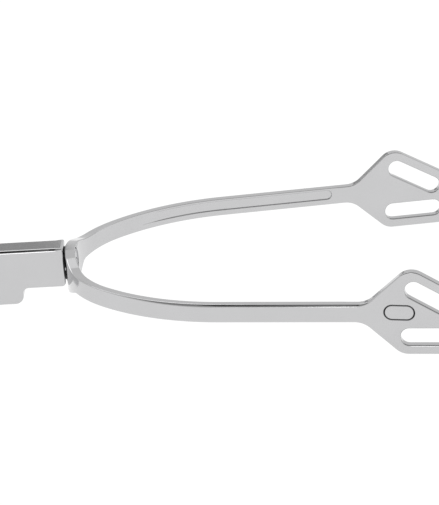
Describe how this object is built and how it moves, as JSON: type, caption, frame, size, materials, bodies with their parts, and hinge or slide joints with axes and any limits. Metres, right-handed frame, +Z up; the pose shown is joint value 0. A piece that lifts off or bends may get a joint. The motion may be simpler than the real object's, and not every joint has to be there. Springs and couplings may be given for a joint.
{
  "type": "riding spur",
  "caption": "Steel dressage spur: U-shaped heel band with flared double-slot strap plates and a swivelling rectangular hammer-head shank.",
  "frame": {"origin": "under the middle of the spur's length, on its plane of symmetry, at the level of the plates' lower edges", "axes": "+X from the shank to the toes along the boot, +Y to the left, +Z up"},
  "size_m": [0.1244, 0.0856, 0.0214],
  "materials": {
    "polished_steel": "polished stainless steel",
    "black_acetal": "turned black acetal",
    "bronze": "turned bearing bronze",
    "spring_steel": "ground spring steel",
    "screw_steel": "turned stainless steel"
  },
  "bodies": {
    "heel_yoke": {"heel_band": "polished_steel", "friction_washer": "black_acetal", "pivot_bush": "bronze", "disc_spring": "spring_steel"},
    "swivel_shank": {"shank": "polished_steel", "pivot_screw": "screw_steel", "grub_screw": "screw_steel"}
  },
  "joints": [
    {"name": "shank_swivel", "type": "hinge", "parent": "heel_yoke", "child": "swivel_shank", "pos_m": [-0.03873, 0, 0.01125], "axis": [1, 0, 0], "continuous": true}
  ]
}
